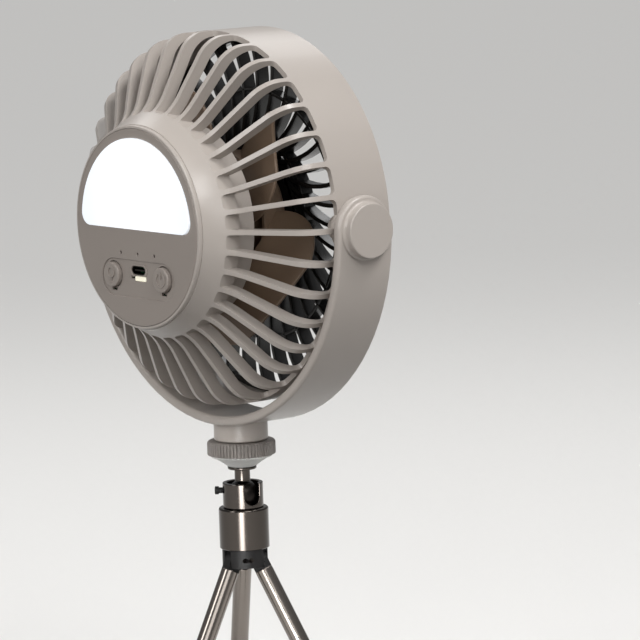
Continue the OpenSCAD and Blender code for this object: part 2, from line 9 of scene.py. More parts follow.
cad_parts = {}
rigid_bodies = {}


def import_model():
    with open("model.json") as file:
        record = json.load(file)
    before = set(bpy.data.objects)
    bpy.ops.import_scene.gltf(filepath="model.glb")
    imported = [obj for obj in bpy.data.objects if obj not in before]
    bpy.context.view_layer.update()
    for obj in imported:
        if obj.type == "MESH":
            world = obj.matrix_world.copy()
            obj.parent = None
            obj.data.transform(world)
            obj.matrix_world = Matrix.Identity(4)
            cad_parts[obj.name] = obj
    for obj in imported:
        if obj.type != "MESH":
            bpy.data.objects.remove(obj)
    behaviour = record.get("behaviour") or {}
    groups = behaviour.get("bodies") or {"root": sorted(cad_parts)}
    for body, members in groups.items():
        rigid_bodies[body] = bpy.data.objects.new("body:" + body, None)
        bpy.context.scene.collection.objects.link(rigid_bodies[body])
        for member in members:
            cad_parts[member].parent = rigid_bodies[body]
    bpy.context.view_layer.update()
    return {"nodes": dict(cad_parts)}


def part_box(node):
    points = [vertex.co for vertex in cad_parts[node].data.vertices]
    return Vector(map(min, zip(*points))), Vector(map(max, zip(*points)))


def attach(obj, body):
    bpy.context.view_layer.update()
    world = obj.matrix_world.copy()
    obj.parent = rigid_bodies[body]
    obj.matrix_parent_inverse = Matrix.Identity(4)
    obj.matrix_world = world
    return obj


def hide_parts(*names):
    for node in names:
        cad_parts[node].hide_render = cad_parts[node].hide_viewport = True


for leftover in list(bpy.data.objects):
    bpy.data.objects.remove(leftover)
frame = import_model()
scene = bpy.context.scene
mm = 0.001

# the tilt axis crosses the stem here, and everything on the head is drawn around it
capLow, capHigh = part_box("pivot_caps")
pivot = (Vector(capLow) + Vector(capHigh)) / 2

# x to the right as seen from behind, y up, z backward out of the lamp
headPlace = Matrix.Translation(pivot) @ Matrix(((-1, 0, 0, 0), (0, 0, 1, 0), (0, 1, 0, 0), (0, 0, 0, 1)))
# upright axes on the stem, origin on the tilt axis
stemPlace = Matrix.Translation(pivot)


# ---- camera, floor and lamps

view = {"azimuth": 231.164, "elevation": 7.697, "roll": -1.809, "distance": 1699.94,
        "right": -32.84, "up": 41.924, "focal": 4233.48, "frame": 640, "aheadOfPivot": 2.4}


def aimCamera():
    azimuth, elevation, roll = (math.radians(view[k]) for k in ("azimuth", "elevation", "roll"))
    back = Vector((math.sin(azimuth) * math.cos(elevation), -math.cos(azimuth) * math.cos(elevation),
                   math.sin(elevation)))
    level = Vector((math.cos(azimuth), math.sin(azimuth), 0))
    upright = back.cross(level)
    right = level * math.cos(roll) + upright * math.sin(roll)
    up = upright * math.cos(roll) - level * math.sin(roll)
    place = back * view["distance"] - right * view["right"] - up * view["up"]
    place = place * mm + pivot - Vector((0, view["aheadOfPivot"] * mm, 0))
    data = bpy.data.cameras.new("camera")
    data.sensor_width = 36
    data.lens = view["focal"] * 36 / view["frame"]
    camera = bpy.data.objects.new("camera", data)
    turn = Matrix((right, up, back)).transposed()
    camera.matrix_world = Matrix.Translation(place) @ turn.to_4x4()
    scene.collection.objects.link(camera)
    scene.camera = camera
    return right, up, back


camRight, camUp, camBack = aimCamera()
scene.view_settings.view_transform = "Standard"


def linear(hexColour):
    # sRGB hex to the linear colour that the shader takes
    parts = [int(hexColour[i:i + 2], 16) / 255 for i in (1, 3, 5)]
    return tuple(c / 12.92 if c < 0.04045 else ((c + 0.055) / 1.055) ** 2.4 for c in parts) + (1,)


def addNode(tree, kind, settings=None, links=None):
    # a node, its properties and input values by name, and the sockets that feed its inputs
    node = tree.nodes.new(kind)
    for name, value in (settings or {}).items():
        if isinstance(name, str) and hasattr(node, name):
            setattr(node, name, value)
        else:
            node.inputs[name].default_value = value
    for name, socket in (links or {}).items():
        tree.links.new(socket, node.inputs[name])
    return node


# the floor looks pale, and gives less light back to the object than it shows
stage = {"floor": "#e4e3e1", "bounce": "#6b6967", "floorSize": 60, "world": "#ffffff",
         "worldStrength": 0.27}


def setStage():
    bm = bmesh.new()
    bmesh.ops.create_grid(bm, x_segments=1, y_segments=1, size=stage["floorSize"] / 2)
    mesh = bpy.data.meshes.new("floor")
    bm.to_mesh(mesh)
    floor = bpy.data.objects.new("floor", mesh)
    scene.collection.objects.link(floor)
    paint = bpy.data.materials.new("floorPaint")
    paint.use_nodes = True
    tree = paint.node_tree
    tree.nodes.remove(tree.nodes["Principled BSDF"])
    shown = addNode(tree, "ShaderNodeBsdfDiffuse", {"Color": linear(stage["floor"])})
    given = addNode(tree, "ShaderNodeBsdfDiffuse", {"Color": linear(stage["bounce"])})
    ray = addNode(tree, "ShaderNodeLightPath").outputs
    seen = addNode(tree, "ShaderNodeMath", {"operation": "MAXIMUM"},
                   {0: ray["Is Camera Ray"], 1: ray["Is Glossy Ray"]})
    seen = addNode(tree, "ShaderNodeMath", {"operation": "MAXIMUM"},
                   {0: seen.outputs[0], 1: ray["Is Transmission Ray"]})
    mix = addNode(tree, "ShaderNodeMixShader", {},
                  {0: seen.outputs[0], 1: given.outputs[0], 2: shown.outputs[0]})
    tree.links.new(mix.outputs[0], tree.nodes["Material Output"].inputs["Surface"])
    mesh.materials.append(paint)
    world = bpy.data.worlds.new("room")
    world.use_nodes = True
    sky = world.node_tree.nodes["Background"]
    sky.inputs["Color"].default_value = linear(stage["world"])
    sky.inputs["Strength"].default_value = stage["worldStrength"]
    scene.world = world


# the sun: direction it comes from in camera terms (right, up, back), strength, softness in degrees
sun = {"way": (0.45, 0.85, 0.3), "strength": 1.5, "soft": 20}

# each lamp: direction from its target in camera terms, distance, size, power, height of the target,
# spread in degrees; the stand lamp is a low strip that draws the streak on the metal
lamps = {
    "keyLamp": ((0.35, 0.53, 0.77), 1.2, (0.5, 0.5), 6, 0, 180),
    "frontLamp": ((0.02, 0.25, 1), 0.9, (0.5, 0.3), 1.3, -0.15, 180),
    "backLamp": ((-0.05, 0.75, -0.65), 1.2, (1.1, 0.5), 3.2, 0, 180),
    "leftLamp": ((-0.75, 0.35, 0.55), 1.4, (0.4, 0.9), 7, 0, 180),
    "standLamp": ((-0.16, -0.1, 1), 0.45, (0.36, 0.08), 0.2, -0.204, 36),
}


def hangLight(name, kind, way, distance, height=0):
    data = bpy.data.lights.new(name, kind)
    lamp = bpy.data.objects.new(name, data)
    direction = (camRight * way[0] + camUp * way[1] + camBack * way[2]).normalized()
    lamp.location = pivot + direction * distance + Vector((0, 0, height))
    lamp.rotation_euler = direction.to_track_quat("Z", "Y").to_euler()
    scene.collection.objects.link(lamp)
    return data


def hangLamps():
    data = hangLight("sunLamp", "SUN", sun["way"], 2)
    data.energy = sun["strength"]
    data.angle = math.radians(sun["soft"])
    for name, (way, distance, size, power, height, spread) in lamps.items():
        data = hangLight(name, "AREA", way, distance, height)
        data.spread = math.radians(spread)
        data.shape = "RECTANGLE"
        data.size, data.size_y = size
        data.energy = power


setStage()
hangLamps()
print("stage ready")


# ---- finishes

finishes = {}


def newFinish(name):
    made = bpy.data.materials.new(name)
    made.use_nodes = True
    finishes[name] = made
    return made.node_tree, made.node_tree.nodes["Principled BSDF"]


def mouldedPlastic(name, colour, roughness, grain=0.35, depth=0.012, tone=0.05):
    # ABS from a spark-eroded mould: an even satin skin with a fine grain and faint flow tones
    tree, shader = newFinish(name)
    where = addNode(tree, "ShaderNodeTexCoord").outputs["Object"]
    flow = addNode(tree, "ShaderNodeTexNoise", {"Scale": 1 / (35 * mm), "Detail": 3}, {"Vector": where})
    dark = tuple(c * (1 - tone) for c in linear(colour)[:3]) + (1,)
    pale = tuple(min(c * (1 + tone), 1) for c in linear(colour)[:3]) + (1,)
    mix = addNode(tree, "ShaderNodeMix", {"data_type": "RGBA"}, {0: flow.outputs["Fac"]})
    mix.inputs[6].default_value = dark
    mix.inputs[7].default_value = pale
    grit = addNode(tree, "ShaderNodeTexNoise", {"Scale": 1 / (grain * mm), "Detail": 2}, {"Vector": where})
    bump = addNode(tree, "ShaderNodeBump", {"Strength": 0.25, "Distance": depth * mm},
                   {"Height": grit.outputs["Fac"]})
    rough = addNode(tree, "ShaderNodeMapRange", {"To Min": roughness - 0.05, "To Max": roughness + 0.05},
                    {"Value": grit.outputs["Fac"]})
    tree.links.new(mix.outputs[2], shader.inputs["Base Color"])
    tree.links.new(rough.outputs["Result"], shader.inputs["Roughness"])
    tree.links.new(bump.outputs["Normal"], shader.inputs["Normal"])
    shader.inputs["IOR"].default_value = 1.5
    return tree, shader


def platedMetal(name, colour, roughness, scratch=0.4, depth=0.002):
    # plated and polished steel or brass: sharp reflections, softened by faint turning marks
    tree, shader = newFinish(name)
    where = addNode(tree, "ShaderNodeTexCoord").outputs["Object"]
    marks = addNode(tree, "ShaderNodeTexNoise", {"Scale": 1 / (scratch * mm), "Detail": 3}, {"Vector": where})
    rough = addNode(tree, "ShaderNodeMapRange", {"To Min": roughness * 0.7, "To Max": roughness * 1.3},
                    {"Value": marks.outputs["Fac"]})
    bump = addNode(tree, "ShaderNodeBump", {"Strength": 0.15, "Distance": depth * mm},
                   {"Height": marks.outputs["Fac"]})
    tree.links.new(rough.outputs["Result"], shader.inputs["Roughness"])
    tree.links.new(bump.outputs["Normal"], shader.inputs["Normal"])
    shader.inputs["Base Color"].default_value = linear(colour)
    shader.inputs["Metallic"].default_value = 1
    return tree, shader


mouldedPlastic("greigeAbs", "#aea69f", 0.3)
mouldedPlastic("taupeAbs", "#948b84", 0.4)
mouldedPlastic("buttonAbs", "#968d86", 0.36)
mouldedPlastic("grilleAbs", "#1d1c1b", 0.22)
mouldedPlastic("blackAbs", "#0f0e0e", 0.5)
finishes["blackAbs"].node_tree.nodes["Principled BSDF"].inputs["Specular IOR Level"].default_value = 0.3
mouldedPlastic("bladePp", "#715e4d", 0.42)
mouldedPlastic("nutAbs", "#857f7a", 0.5)
mouldedPlastic("coneAbs", "#dededb", 0.45)
mouldedPlastic("nylon", "#e4e2dc", 0.5)
mouldedPlastic("boardWhite", "#e9e8e2", 0.4)
mouldedPlastic("boardGreen", "#1d5a37", 0.3)
mouldedPlastic("cellWrap", "#3f6f9f", 0.25)
mouldedPlastic("footRubber", "#1c1b1a", 0.7, grain=0.5, depth=0.03)
# the stand's nickel has a dark colour: painted dark reflections of the surroundings, beside the lamp's bright
# streak
platedMetal("nickelPaintedDarkReflection", "#4f4a46", 0.16)
platedMetal("brightNickel", "#857e78", 0.2)
platedMetal("screwZinc", "#c4c4c2", 0.3)
# black oxide on the leg pins and lock screw; on the socket shell and the ball its black is painted shade of
# their dark hollows
platedMetal("blackOxideAndPaintedShade", "#2a2725", 0.35)
platedMetal("turnedBrass", "#c8a45c", 0.3)
platedMetal("coreSteel", "#6c6c6e", 0.4)
platedMetal("copperWire", "#b8703a", 0.35)


opal = {"glow": (0.47, 0.52), "haze": 8, "middle": (0, 48, 13), "rim": (13, 33),
        "near": "#f8f9fa", "far": "#dfe7ee", "light": "#f6faff"}


def opalCover():
    # opal acrylic over lit LEDs: white through its depth, a gloss skin and a soft glow
    o = opal
    tree, shader = newFinish("opalAcrylic")
    where = addNode(tree, "ShaderNodeTexCoord").outputs["Object"]
    haze = addNode(tree, "ShaderNodeTexNoise", {"Scale": 1 / (o["haze"] * mm)}, {"Vector": where})
    glow = addNode(tree, "ShaderNodeMapRange", {"To Min": o["glow"][0], "To Max": o["glow"][1]},
                   {"Value": haze.outputs["Fac"]})
    # the cover's colour is painted cooler and darker near its rim: painted shade where the LEDs behind light
    # it less
    middle = pivot + Vector(o["middle"]) * mm
    away = addNode(tree, "ShaderNodeVectorMath", {"operation": "DISTANCE", 1: middle}, {0: where})
    rim = addNode(tree, "ShaderNodeMapRange", {"From Min": o["rim"][0] * mm, "From Max": o["rim"][1] * mm},
                  {"Value": away.outputs["Value"]})
    tint = addNode(tree, "ShaderNodeMix", {"data_type": "RGBA"}, {0: rim.outputs["Result"]})
    tint.inputs[6].default_value = linear(o["near"])
    tint.inputs[7].default_value = linear(o["far"])
    tree.links.new(tint.outputs[2], shader.inputs["Base Color"])
    tree.links.new(glow.outputs["Result"], shader.inputs["Emission Strength"])
    shader.inputs["Emission Color"].default_value = linear(o["light"])
    shader.inputs["Roughness"].default_value = 0.12
    shader.inputs["IOR"].default_value = 1.49


def ledFinish():
    # phosphor gel in a white cup: warm cream, slightly glossy; on the charge window the same glow is a
    # painted highlight
    tree, shader = newFinish("ledGelAndPaintedGlow")
    where = addNode(tree, "ShaderNodeTexCoord").outputs["Object"]
    gel = addNode(tree, "ShaderNodeTexNoise", {"Scale": 1 / (1.5 * mm)}, {"Vector": where})
    mix = addNode(tree, "ShaderNodeMix", {"data_type": "RGBA"}, {0: gel.outputs["Fac"]})
    mix.inputs[6].default_value = linear("#fff6d8")
    mix.inputs[7].default_value = linear("#fffdf0")
    tree.links.new(mix.outputs[2], shader.inputs["Base Color"])
    shader.inputs["Emission Color"].default_value = linear("#fffbe6")
    shader.inputs["Emission Strength"].default_value = 0.3
    shader.inputs["Roughness"].default_value = 0.3


opalCover()
ledFinish()

# which finish each CAD node shows
dressed = {
    "greigeAbs": ["rear_housing", "yoke", "pivot_caps", "motor_tub"],
    "taupeAbs": ["control_panel"],
    "buttonAbs": ["light_button", "power_button"],
    "grilleAbs": ["front_grille"],
    "blackAbs": ["motor_base", "tact_switches", "battery_cradle", "leg_hub", "knuckle_back", "knuckle_left",
                 "knuckle_right", "indicator_lights"],
    "bladePp": ["impeller"],
    "nutAbs": ["lock_nut"],
    "coneAbs": ["nut_cone"],
    "nylon": ["friction_washers", "ball_pad"],
    "boardWhite": ["light_board"],
    "boardGreen": ["control_board"],
    "cellWrap": ["battery_cell"],
    "footRubber": ["leg_foot_back", "leg_foot_left", "leg_foot_right"],
    # the stand's metal, its colour darkened as painted dark reflections
    "nickelPaintedDarkReflection": ["ball_stem", "platform_disc", "ball_cup", "body_tube"],
    "brightNickel": ["leg_outer_back", "leg_outer_left", "leg_outer_right", "leg_middle_back",
                     "leg_middle_left", "leg_middle_right", "leg_inner_back", "leg_inner_left",
                     "leg_inner_right"],
    "screwZinc": ["tub_screws", "board_screws", "motor_screws", "pivot_screws", "motor_bearings",
                  "motor_shaft", "shaft_clip", "mount_stud"],
    # the socket shell's black is painted shade of its hollow; the pins are black oxide
    "blackOxideAndPaintedShade": ["usb_socket", "lock_screw", "leg_pins"],
    "turnedBrass": ["pivot_inserts", "thread_insert"],
    "coreSteel": ["motor_stator", "motor_rotor", "rotor_magnet"],
    "copperWire": ["motor_coils"],
    "opalAcrylic": ["light_lens"],
    # the charge window's glow is a painted highlight
    "ledGelAndPaintedGlow": ["lamp_leds", "charge_window"],
}


def dressNodes():
    for finish, nodes in dressed.items():
        for name in nodes:
            node = frame["nodes"][name]
            node.data.materials.clear()
            node.data.materials.append(finishes[finish])


dressNodes()
print("frame dressed")


# ---- shapes

def point(centre, radius, degrees):
    turn = math.radians(degrees)
    return (centre[0] + radius * math.cos(turn), centre[1] + radius * math.sin(turn))


def arc(centre, radius, start, end, steps):
    return [point(centre, radius, start + (end - start) * i / steps) for i in range(steps + 1)]


def between(a, b, share):
    return tuple(p + (q - p) * share for p, q in zip(a, b))


def rounded(corners, steps=4):
    # a line through the corners (x, y, radius), each turned with its own radius
    line = []
    for i, (x, y, radius) in enumerate(corners):
        here = Vector((x, y))
        before, after = Vector(corners[i - 1][:2]), Vector(corners[(i + 1) % len(corners)][:2])
        if radius == 0:
            line.append((x, y))
            continue
        a, b = (before - here).normalized(), (after - here).normalized()
        half = a.angle(b) / 2
        middle = here + (a + b).normalized() * radius / math.sin(half)
        first, last = here + a * radius / math.tan(half) - middle, here + b * radius / math.tan(half) - middle
        for k in range(steps + 1):
            line.append(tuple(middle + first.slerp(last, k / steps).normalized() * radius))
    return line


def spinProfile(bm, profile, steps=96, centre=(0, 0)):
    # turn a line of (radius, height) once around the z axis through centre
    verts = [bm.verts.new((r + centre[0], centre[1], z)) for r, z in profile]
    edges = [bm.edges.new(pair) for pair in zip(verts, verts[1:])]
    bmesh.ops.spin(bm, geom=verts + edges, cent=(centre[0], centre[1], 0), axis=(0, 0, 1), angle=2 * math.pi,
                   steps=steps, use_merge=True)


def gridPatch(bm, columns, rows, place):
    # a net of quads with its corners at place(column, row)
    across, along = len(columns) - 1, len(rows) - 1
    made = bmesh.ops.create_grid(bm, x_segments=across, y_segments=along, size=1)["verts"]
    for vert in made:
        i, j = round((vert.co.x + 1) / 2 * across), round((vert.co.y + 1) / 2 * along)
        vert.co = place(columns[i], rows[j])
    return made


def thicken(bm, depth, edge, segments=3, keep=None):
    # give a flat sheet its depth along -z and round its rims; keep tells which side walls to leave open
    sheet = bm.faces[:]
    made = bmesh.ops.extrude_face_region(bm, geom=sheet)["geom"]
    bmesh.ops.translate(bm, vec=(0, 0, -depth), verts=[g for g in made if isinstance(g, bmesh.types.BMVert)])
    if keep:
        openWalls = [f for f in bm.faces if keep([v.co for v in f.verts])]
        bmesh.ops.delete(bm, geom=openWalls, context="FACES")
    bmesh.ops.recalc_face_normals(bm, faces=bm.faces)
    rims = [e for e in bm.edges if len(e.link_faces) == 2 and e.calc_face_angle() > math.radians(50)
            and abs(e.verts[0].co.z - e.verts[1].co.z) < 0.001]
    bmesh.ops.bevel(bm, geom=rims, offset=edge, segments=segments, profile=0.5, affect="EDGES", material=-1,
                    clamp_overlap=True)


def addPlate(bm, outlines, top, depth, edge, segments=3):
    # a flat plate with holes: the first outline is its rim, the others are the holes
    plate = bmesh.new()
    for outline in outlines:
        verts = [plate.verts.new((x, y, top)) for x, y in outline]
        for i, vert in enumerate(verts):
            plate.edges.new((verts[i - 1], vert))
    bmesh.ops.triangle_fill(plate, use_beauty=True, use_dissolve=False, edges=plate.edges, normal=(0, 0, 1))
    thicken(plate, depth, edge, segments)
    mesh = bpy.data.meshes.new("plate")
    plate.to_mesh(mesh)
    plate.free()
    bm.from_mesh(mesh)
    bpy.data.meshes.remove(mesh)


def sectors(bm, count, halves=False):
    # repeat what is drawn so far around the z axis, mirrored first if it is half a sector
    if halves:
        bmesh.ops.mirror(bm, geom=bm.verts[:] + bm.edges[:] + bm.faces[:], matrix=Matrix.Identity(4),
                         merge_dist=0.002, axis="Y")
    bmesh.ops.spin(bm, geom=bm.verts[:] + bm.edges[:] + bm.faces[:], cent=(0, 0, 0), axis=(0, 0, 1),
                   angle=2 * math.pi * (count - 1) / count, steps=count - 1, use_duplicate=True)


def makePiece(name, bm, body, nodes, finish, place, crease=38):
    bmesh.ops.remove_doubles(bm, verts=bm.verts, dist=0.003)
    bmesh.ops.recalc_face_normals(bm, faces=bm.faces)
    bmesh.ops.transform(bm, matrix=place @ Matrix.Scale(mm, 4), verts=bm.verts)
    for face in bm.faces:
        face.smooth = True
    for line in bm.edges:
        line.smooth = len(line.link_faces) == 2 and line.calc_face_angle() < math.radians(crease)
    mesh = bpy.data.meshes.new(name)
    bm.to_mesh(mesh)
    bm.free()
    mesh.materials.append(finishes[finish])
    piece = bpy.data.objects.new(name, mesh)
    scene.collection.objects.link(piece)
    weights = piece.modifiers.new("flatFaces", "WEIGHTED_NORMAL")
    weights.keep_sharp = True
    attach(piece, body)
    if nodes:
        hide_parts(*nodes)
    print(name, len(mesh.polygons), "faces")
    return piece


def circle(radius, steps=64, centre=(0, 0)):
    return arc(centre, radius, 0, 360 * (1 - 1 / steps), steps - 1)


def stadium(length, radius, centre=(0, 0), steps=12):
    reach = length / 2 - radius
    x, y = centre
    return arc((x + reach, y), radius, -90, 90, steps) + arc((x - reach, y), radius, 90, 270, steps)


# ---- rear housing

housing = {"radius": 75, "wall": 2.2, "front": -19, "ribs": 36, "ribThick": 2, "ribDepth": 4.5,
           "bendRadius": 13.5, "bendAt": 11.8, "slope": 28.5, "straight": 18.5, "dishRadius": 20,
           "rootSlope": 57, "flareRadius": 40, "flareSlope": 69, "rimRadius": 0.6, "rimStep": 0.3,
           "rimTop": 48.5, "slotFront": 7, "slotRoot": 44.75, "slotRound": 1.4, "slotEnd": 2.1, "edge": 0.6,
           "panelSeat": 39.3, "tubWall": 44.45}


def housingRows():
    # rows along the back's outer curve: (length along it, outer point, inner point) as (radius, height)
    h = housing
    bend = (h["radius"] - h["bendRadius"], h["bendAt"])
    bendEnd = point(bend, h["bendRadius"], 90 - h["slope"])
    flatEnd = point(bendEnd, h["straight"], 180 - h["slope"])
    dish = point(flatEnd, h["dishRadius"], 90 - h["slope"])
    root = point(dish, -h["dishRadius"], 90 - h["rootSlope"])
    flare = point(root, h["flareRadius"], 90 - h["rootSlope"])
    flareEnd = point(flare, -h["flareRadius"], 90 - h["flareSlope"])
    wall = flareEnd[0] - h["rimStep"]
    rim = (wall - h["rimRadius"], h["rimTop"] - h["rimRadius"])
    rootAt = math.degrees(math.acos((dish[0] - h["slotRoot"]) / h["dishRadius"]))
    inside = h["radius"] - h["wall"]
    innerBend = (bend[0] - h["wall"], bend[1] - h["ribDepth"])
    drum = (h["front"], -18.2, -12, -5, 2, 5.6, h["slotFront"])
    outer = [(h["radius"], z) for z in drum + (h["slotFront"] + h["slotEnd"], 10.4)]
    inner = [(inside, z) for z in drum]
    inner += [point(innerBend, h["bendRadius"], angle) for angle in (7.7, 12)]
    # the cut goes in square to the drum, so the inner edge starts further round its bend
    outer += arc(bend, h["bendRadius"], 0, 90 - h["slope"], 12)
    inner += arc(innerBend, h["bendRadius"], 16, 90 - h["slope"], 12)
    ribs = [between(bendEnd, flatEnd, share) for share in (0.33, 0.67)]
    ribs += arc(dish, -h["dishRadius"], 90 - h["slope"], rootAt + 4, 7)
    ribs += [point(dish, -h["dishRadius"], rootAt)]
    for r, z in ribs:
        outer.append((r, z))
        inner.append((max(r - h["wall"], h["tubWall"]), z - h["ribDepth"]))
    inner[-1] = (h["tubWall"], 31.5)
    inner[-2] = (h["tubWall"], 33.8)
    ring = [root] + arc(flare, -h["flareRadius"], 90 - h["rootSlope"], 90 - h["flareSlope"], 7)[1:]
    ring += [(wall, flareEnd[1])] + arc(rim, h["rimRadius"], 0, 90, 4) + [(h["panelSeat"], h["rimTop"])]
    # the steps inside the hub ring that hold the tub and the panel
    seat = [(44, 31.5), (42.4, 31.5), (42.4, 34), (42.4, 38.2), (40.2, 38.2), (40.2, 40), (40.2, 42),
            (37.6, 44.6), (37.6, 46.9), (38.4, 46.9)]
    seat += [(h["panelSeat"], z) for z in (46.9, 47.1, 47.4, 47.7, 48)]
    outer += ring
    inner += seat[:len(ring) - 1] + seat[-1:]
    rows, along = [], 0
    for i, (o, n) in enumerate(zip(outer, inner)):
        along += math.dist(o, outer[i - 1]) if i else 0
        rows.append((along, o, n))
    return rows


def buildHousing():
    h = housing
    rows = housingRows()
    side, sheet = h["ribThick"] / 2, h["ribDepth"]
    edge = 8  # the middle of a slot, in the flat pattern
    lowReach, highReach = side + h["slotEnd"], side + h["slotRound"]
    starts = [s for s, o, n in rows]
    low = starts[6]
    high = next(s for s, o, n in rows if abs(o[0] - h["slotRoot"]) < 0.001)
    ribRows = [s for s in starts if low <= s <= high]
    bm = bmesh.new()

    def flat(u, s):
        return (u, s, 0)
    gridPatch(bm, [0, 0.5, side, lowReach, edge], [s for s in starts if s <= low], flat)
    gridPatch(bm, [0, 0.5, side], ribRows, flat)
    gridPatch(bm, [0, 0.5, side, highReach, edge], [s for s in starts if s >= high], flat)
    for s, turn, reach, curve in ((low, 1, lowReach, h["slotEnd"]), (high, -1, highReach, h["slotRound"])):
        # the round corner where a slot ends
        bow = [(reach - curve * math.sin(a), s + turn * curve * (1 - math.cos(a)))
               for a in [math.pi / 2 * k / 6 for k in range(7)]]
        corner = [(side, s)] + bow
        corner += [(side, r) for r in reversed(ribRows) if 0.01 < (r - s) * turn < curve - 0.01][::turn]
        bm.faces.new([bm.verts.new((u, v, 0)) for u, v in corner])
    bmesh.ops.remove_doubles(bm, verts=bm.verts, dist=0.002)
    thicken(bm, sheet, h["edge"], 3, lambda cos: all(abs(c.x) < 0.001 for c in cos)
            or all(abs(c.x - edge) < 0.001 for c in cos))
    half = math.radians(180 / h["ribs"])
    for vert in bm.verts:
        u, s, t = vert.co.x, min(max(vert.co.y, 0), starts[-1]), -vert.co.z / sheet
        k = max(i for i in range(len(rows) - 1) if starts[i] <= s + 1e-6)
        share = (s - starts[k]) / (starts[k + 1] - starts[k])
        outerPoint = between(rows[k][1], rows[k + 1][1], share)
        innerPoint = between(rows[k][2], rows[k + 1][2], share)
        r, z = between(outerPoint, innerPoint, t)
        reach = lowReach if s < (low + high) / 2 else highReach
        if u > reach:
            u = reach + (u - reach) * (r * math.sin(half) - reach) / (edge - reach)
        vert.co = (math.sqrt(r * r - u * u), u, z)
    sectors(bm, h["ribs"], halves=True)
    makePiece("rearHousing", bm, "head", ["rear_housing"], "greigeAbs", headPlace)


buildHousing()


# ---- lamp panel with its buttons and socket

panel = {"radius": 39.2, "face": 48.7, "thick": 1.8, "edge": 0.45, "lensRadius": 35.4, "lensFlat": -0.8,
         "lensCorner": 5, "lensRise": 0.7, "recessAt": -20.6, "recessRadius": 7.3, "recessDepth": 0.5,
         "buttonAt": (16.3, -19.6), "buttonRadius": 5, "buttonGap": 0.4, "notch": 1.6, "notchLow": 6.4,
         "window": (-2.6, 4.8), "gapAt": -5, "dots": (-11, 0, 11), "dotsAt": -10.6, "dotRadius": 0.6}

# the charging socket: length and end radius of each stadium, from the panel inward
port = {"at": -17.1, "rim": 48.5, "opening": (9.2, 1.75), "shell": (8.94, 1.6), "bore": (8.34, 1.3),
        "lipAt": 3.2, "lipRadius": 2.6, "tongue": (3.3, 0.35)}


def lampOutline(inset, steps=48):
    # a disc cut by a level line, its two corners turned
    p = panel
    r, corner, flat = p["lensRadius"] - inset, p["lensCorner"] - inset, p["lensFlat"] + inset
    cornerAt = flat + corner
    across = math.sqrt((r - corner) ** 2 - cornerAt ** 2)
    lift = math.degrees(math.atan2(cornerAt, across))
    right = arc((across, cornerAt), corner, -90, lift, 8)
    top = arc((0, 0), r, lift, 180 - lift, steps)[1:-1]
    left = arc((-across, cornerAt), corner, 180 - lift, 270, 8)
    return right + top + left


def buildPanel():
    p = panel
    low = p["face"] - p["recessDepth"]
    recess = stadium(2 * (p["buttonAt"][0] + p["recessRadius"]), p["recessRadius"], (0, p["recessAt"]), 20)
    holes = [circle(p["dotRadius"], 12, (x, p["dotsAt"])) for x in p["dots"]]
    bm = bmesh.new()
    addPlate(bm, [circle(p["radius"], 128), lampOutline(-0.1), recess] + holes, p["face"],
             p["recessDepth"] + 0.6, p["edge"])
    x, y = p["buttonAt"]
    keyholes = []
    for sideways in (-x, x):
        # a round hole with a small notch under it
        hole = p["buttonRadius"] + p["buttonGap"]
        gap = math.degrees(math.asin(p["notch"] / hole))
        ring = arc((sideways, y), hole, -90 + gap, 270 - gap, 40)
        ring += [(sideways - p["notch"], y - p["notchLow"]), (sideways + p["notch"], y - p["notchLow"])]
        keyholes.append(ring)
    v, (left, right) = port["at"], p["window"]
    opening = [(p["gapAt"], v - 3.4), (left, v - 3.4), (left, v - 4.4), (right, v - 4.4), (right, v - 2.2),
               (p["gapAt"], v - 2.2)]
    floorHoles = keyholes + [stadium(*port["opening"], (0, v)), opening]
    addPlate(bm, [circle(p["radius"] - 0.2, 128), lampOutline(1.6)] + floorHoles + holes, low, 1, 0.15, 2)
    # raised lip around the socket, cut away above the window
    lip = arc((port["lipAt"], v), port["lipRadius"], -57.8, 90, 10)
    lip += arc((-port["lipAt"], v), port["lipRadius"], 90, 270, 12)
    lip += [(left, v - port["lipRadius"]), (left, v - 2.2)]
    addPlate(bm, [lip, stadium(*port["opening"], (0, v), 10)], port["rim"], 1.2, 0.18, 2)
    makePiece("controlPanel", bm, "head", ["control_panel"], "taupeAbs", headPlace)

    bm = bmesh.new()
    addPlate(bm, [lampOutline(0)], p["face"] + p["lensRise"], 1.7, 0.45, 4)
    makePiece("lampLens", bm, "head", ["light_lens"], "opalAcrylic", headPlace)


button = {"top": 50.1, "dish": 0.45, "edge": 0.7, "flange": 6.1, "sign": 0.5}


def buildButton(name, node, body, side, symbol):
    # a cap with a faint dish and a flange behind the panel
    b, r = button, panel["buttonRadius"]
    x, y = side * panel["buttonAt"][0], panel["buttonAt"][1]
    low, top = panel["face"] - panel["thick"], b["top"]
    bm = bmesh.new()
    profile = [(0, top - b["dish"]), (r * 0.4, top - b["dish"] * 0.84), (r * 0.7, top - b["dish"] * 0.45)]
    profile += arc((r - b["edge"], top - b["edge"]), b["edge"], 90, 0, 5)
    profile += [(r, low - 0.15), (b["flange"], low - 0.15), (b["flange"], low - 0.85), (1.5, low - 0.85),
                (1.5, low - 1.1), (0, low - 1.1)]
    spinProfile(bm, profile, 64, (x, y))
    for mark in symbol:
        addPlate(bm, [[(x + u, y + v) for u, v in outline] for outline in mark], top + b["sign"] - b["dish"],
                 0.6, 0.12, 2)
    makePiece(name, bm, body, [node], "buttonAbs", headPlace)


def band(points, width):
    # a line of points as an outline of even width
    left, right = [], []
    for i, here in enumerate(points):
        ahead, behind = points[min(i + 1, len(points) - 1)], points[max(i - 1, 0)]
        way = (Vector(ahead) - Vector(behind)).normalized() * width / 2
        left.append((here[0] - way.y, here[1] + way.x))
        right.append((here[0] + way.y, here[1] - way.x))
    return left + right[::-1]


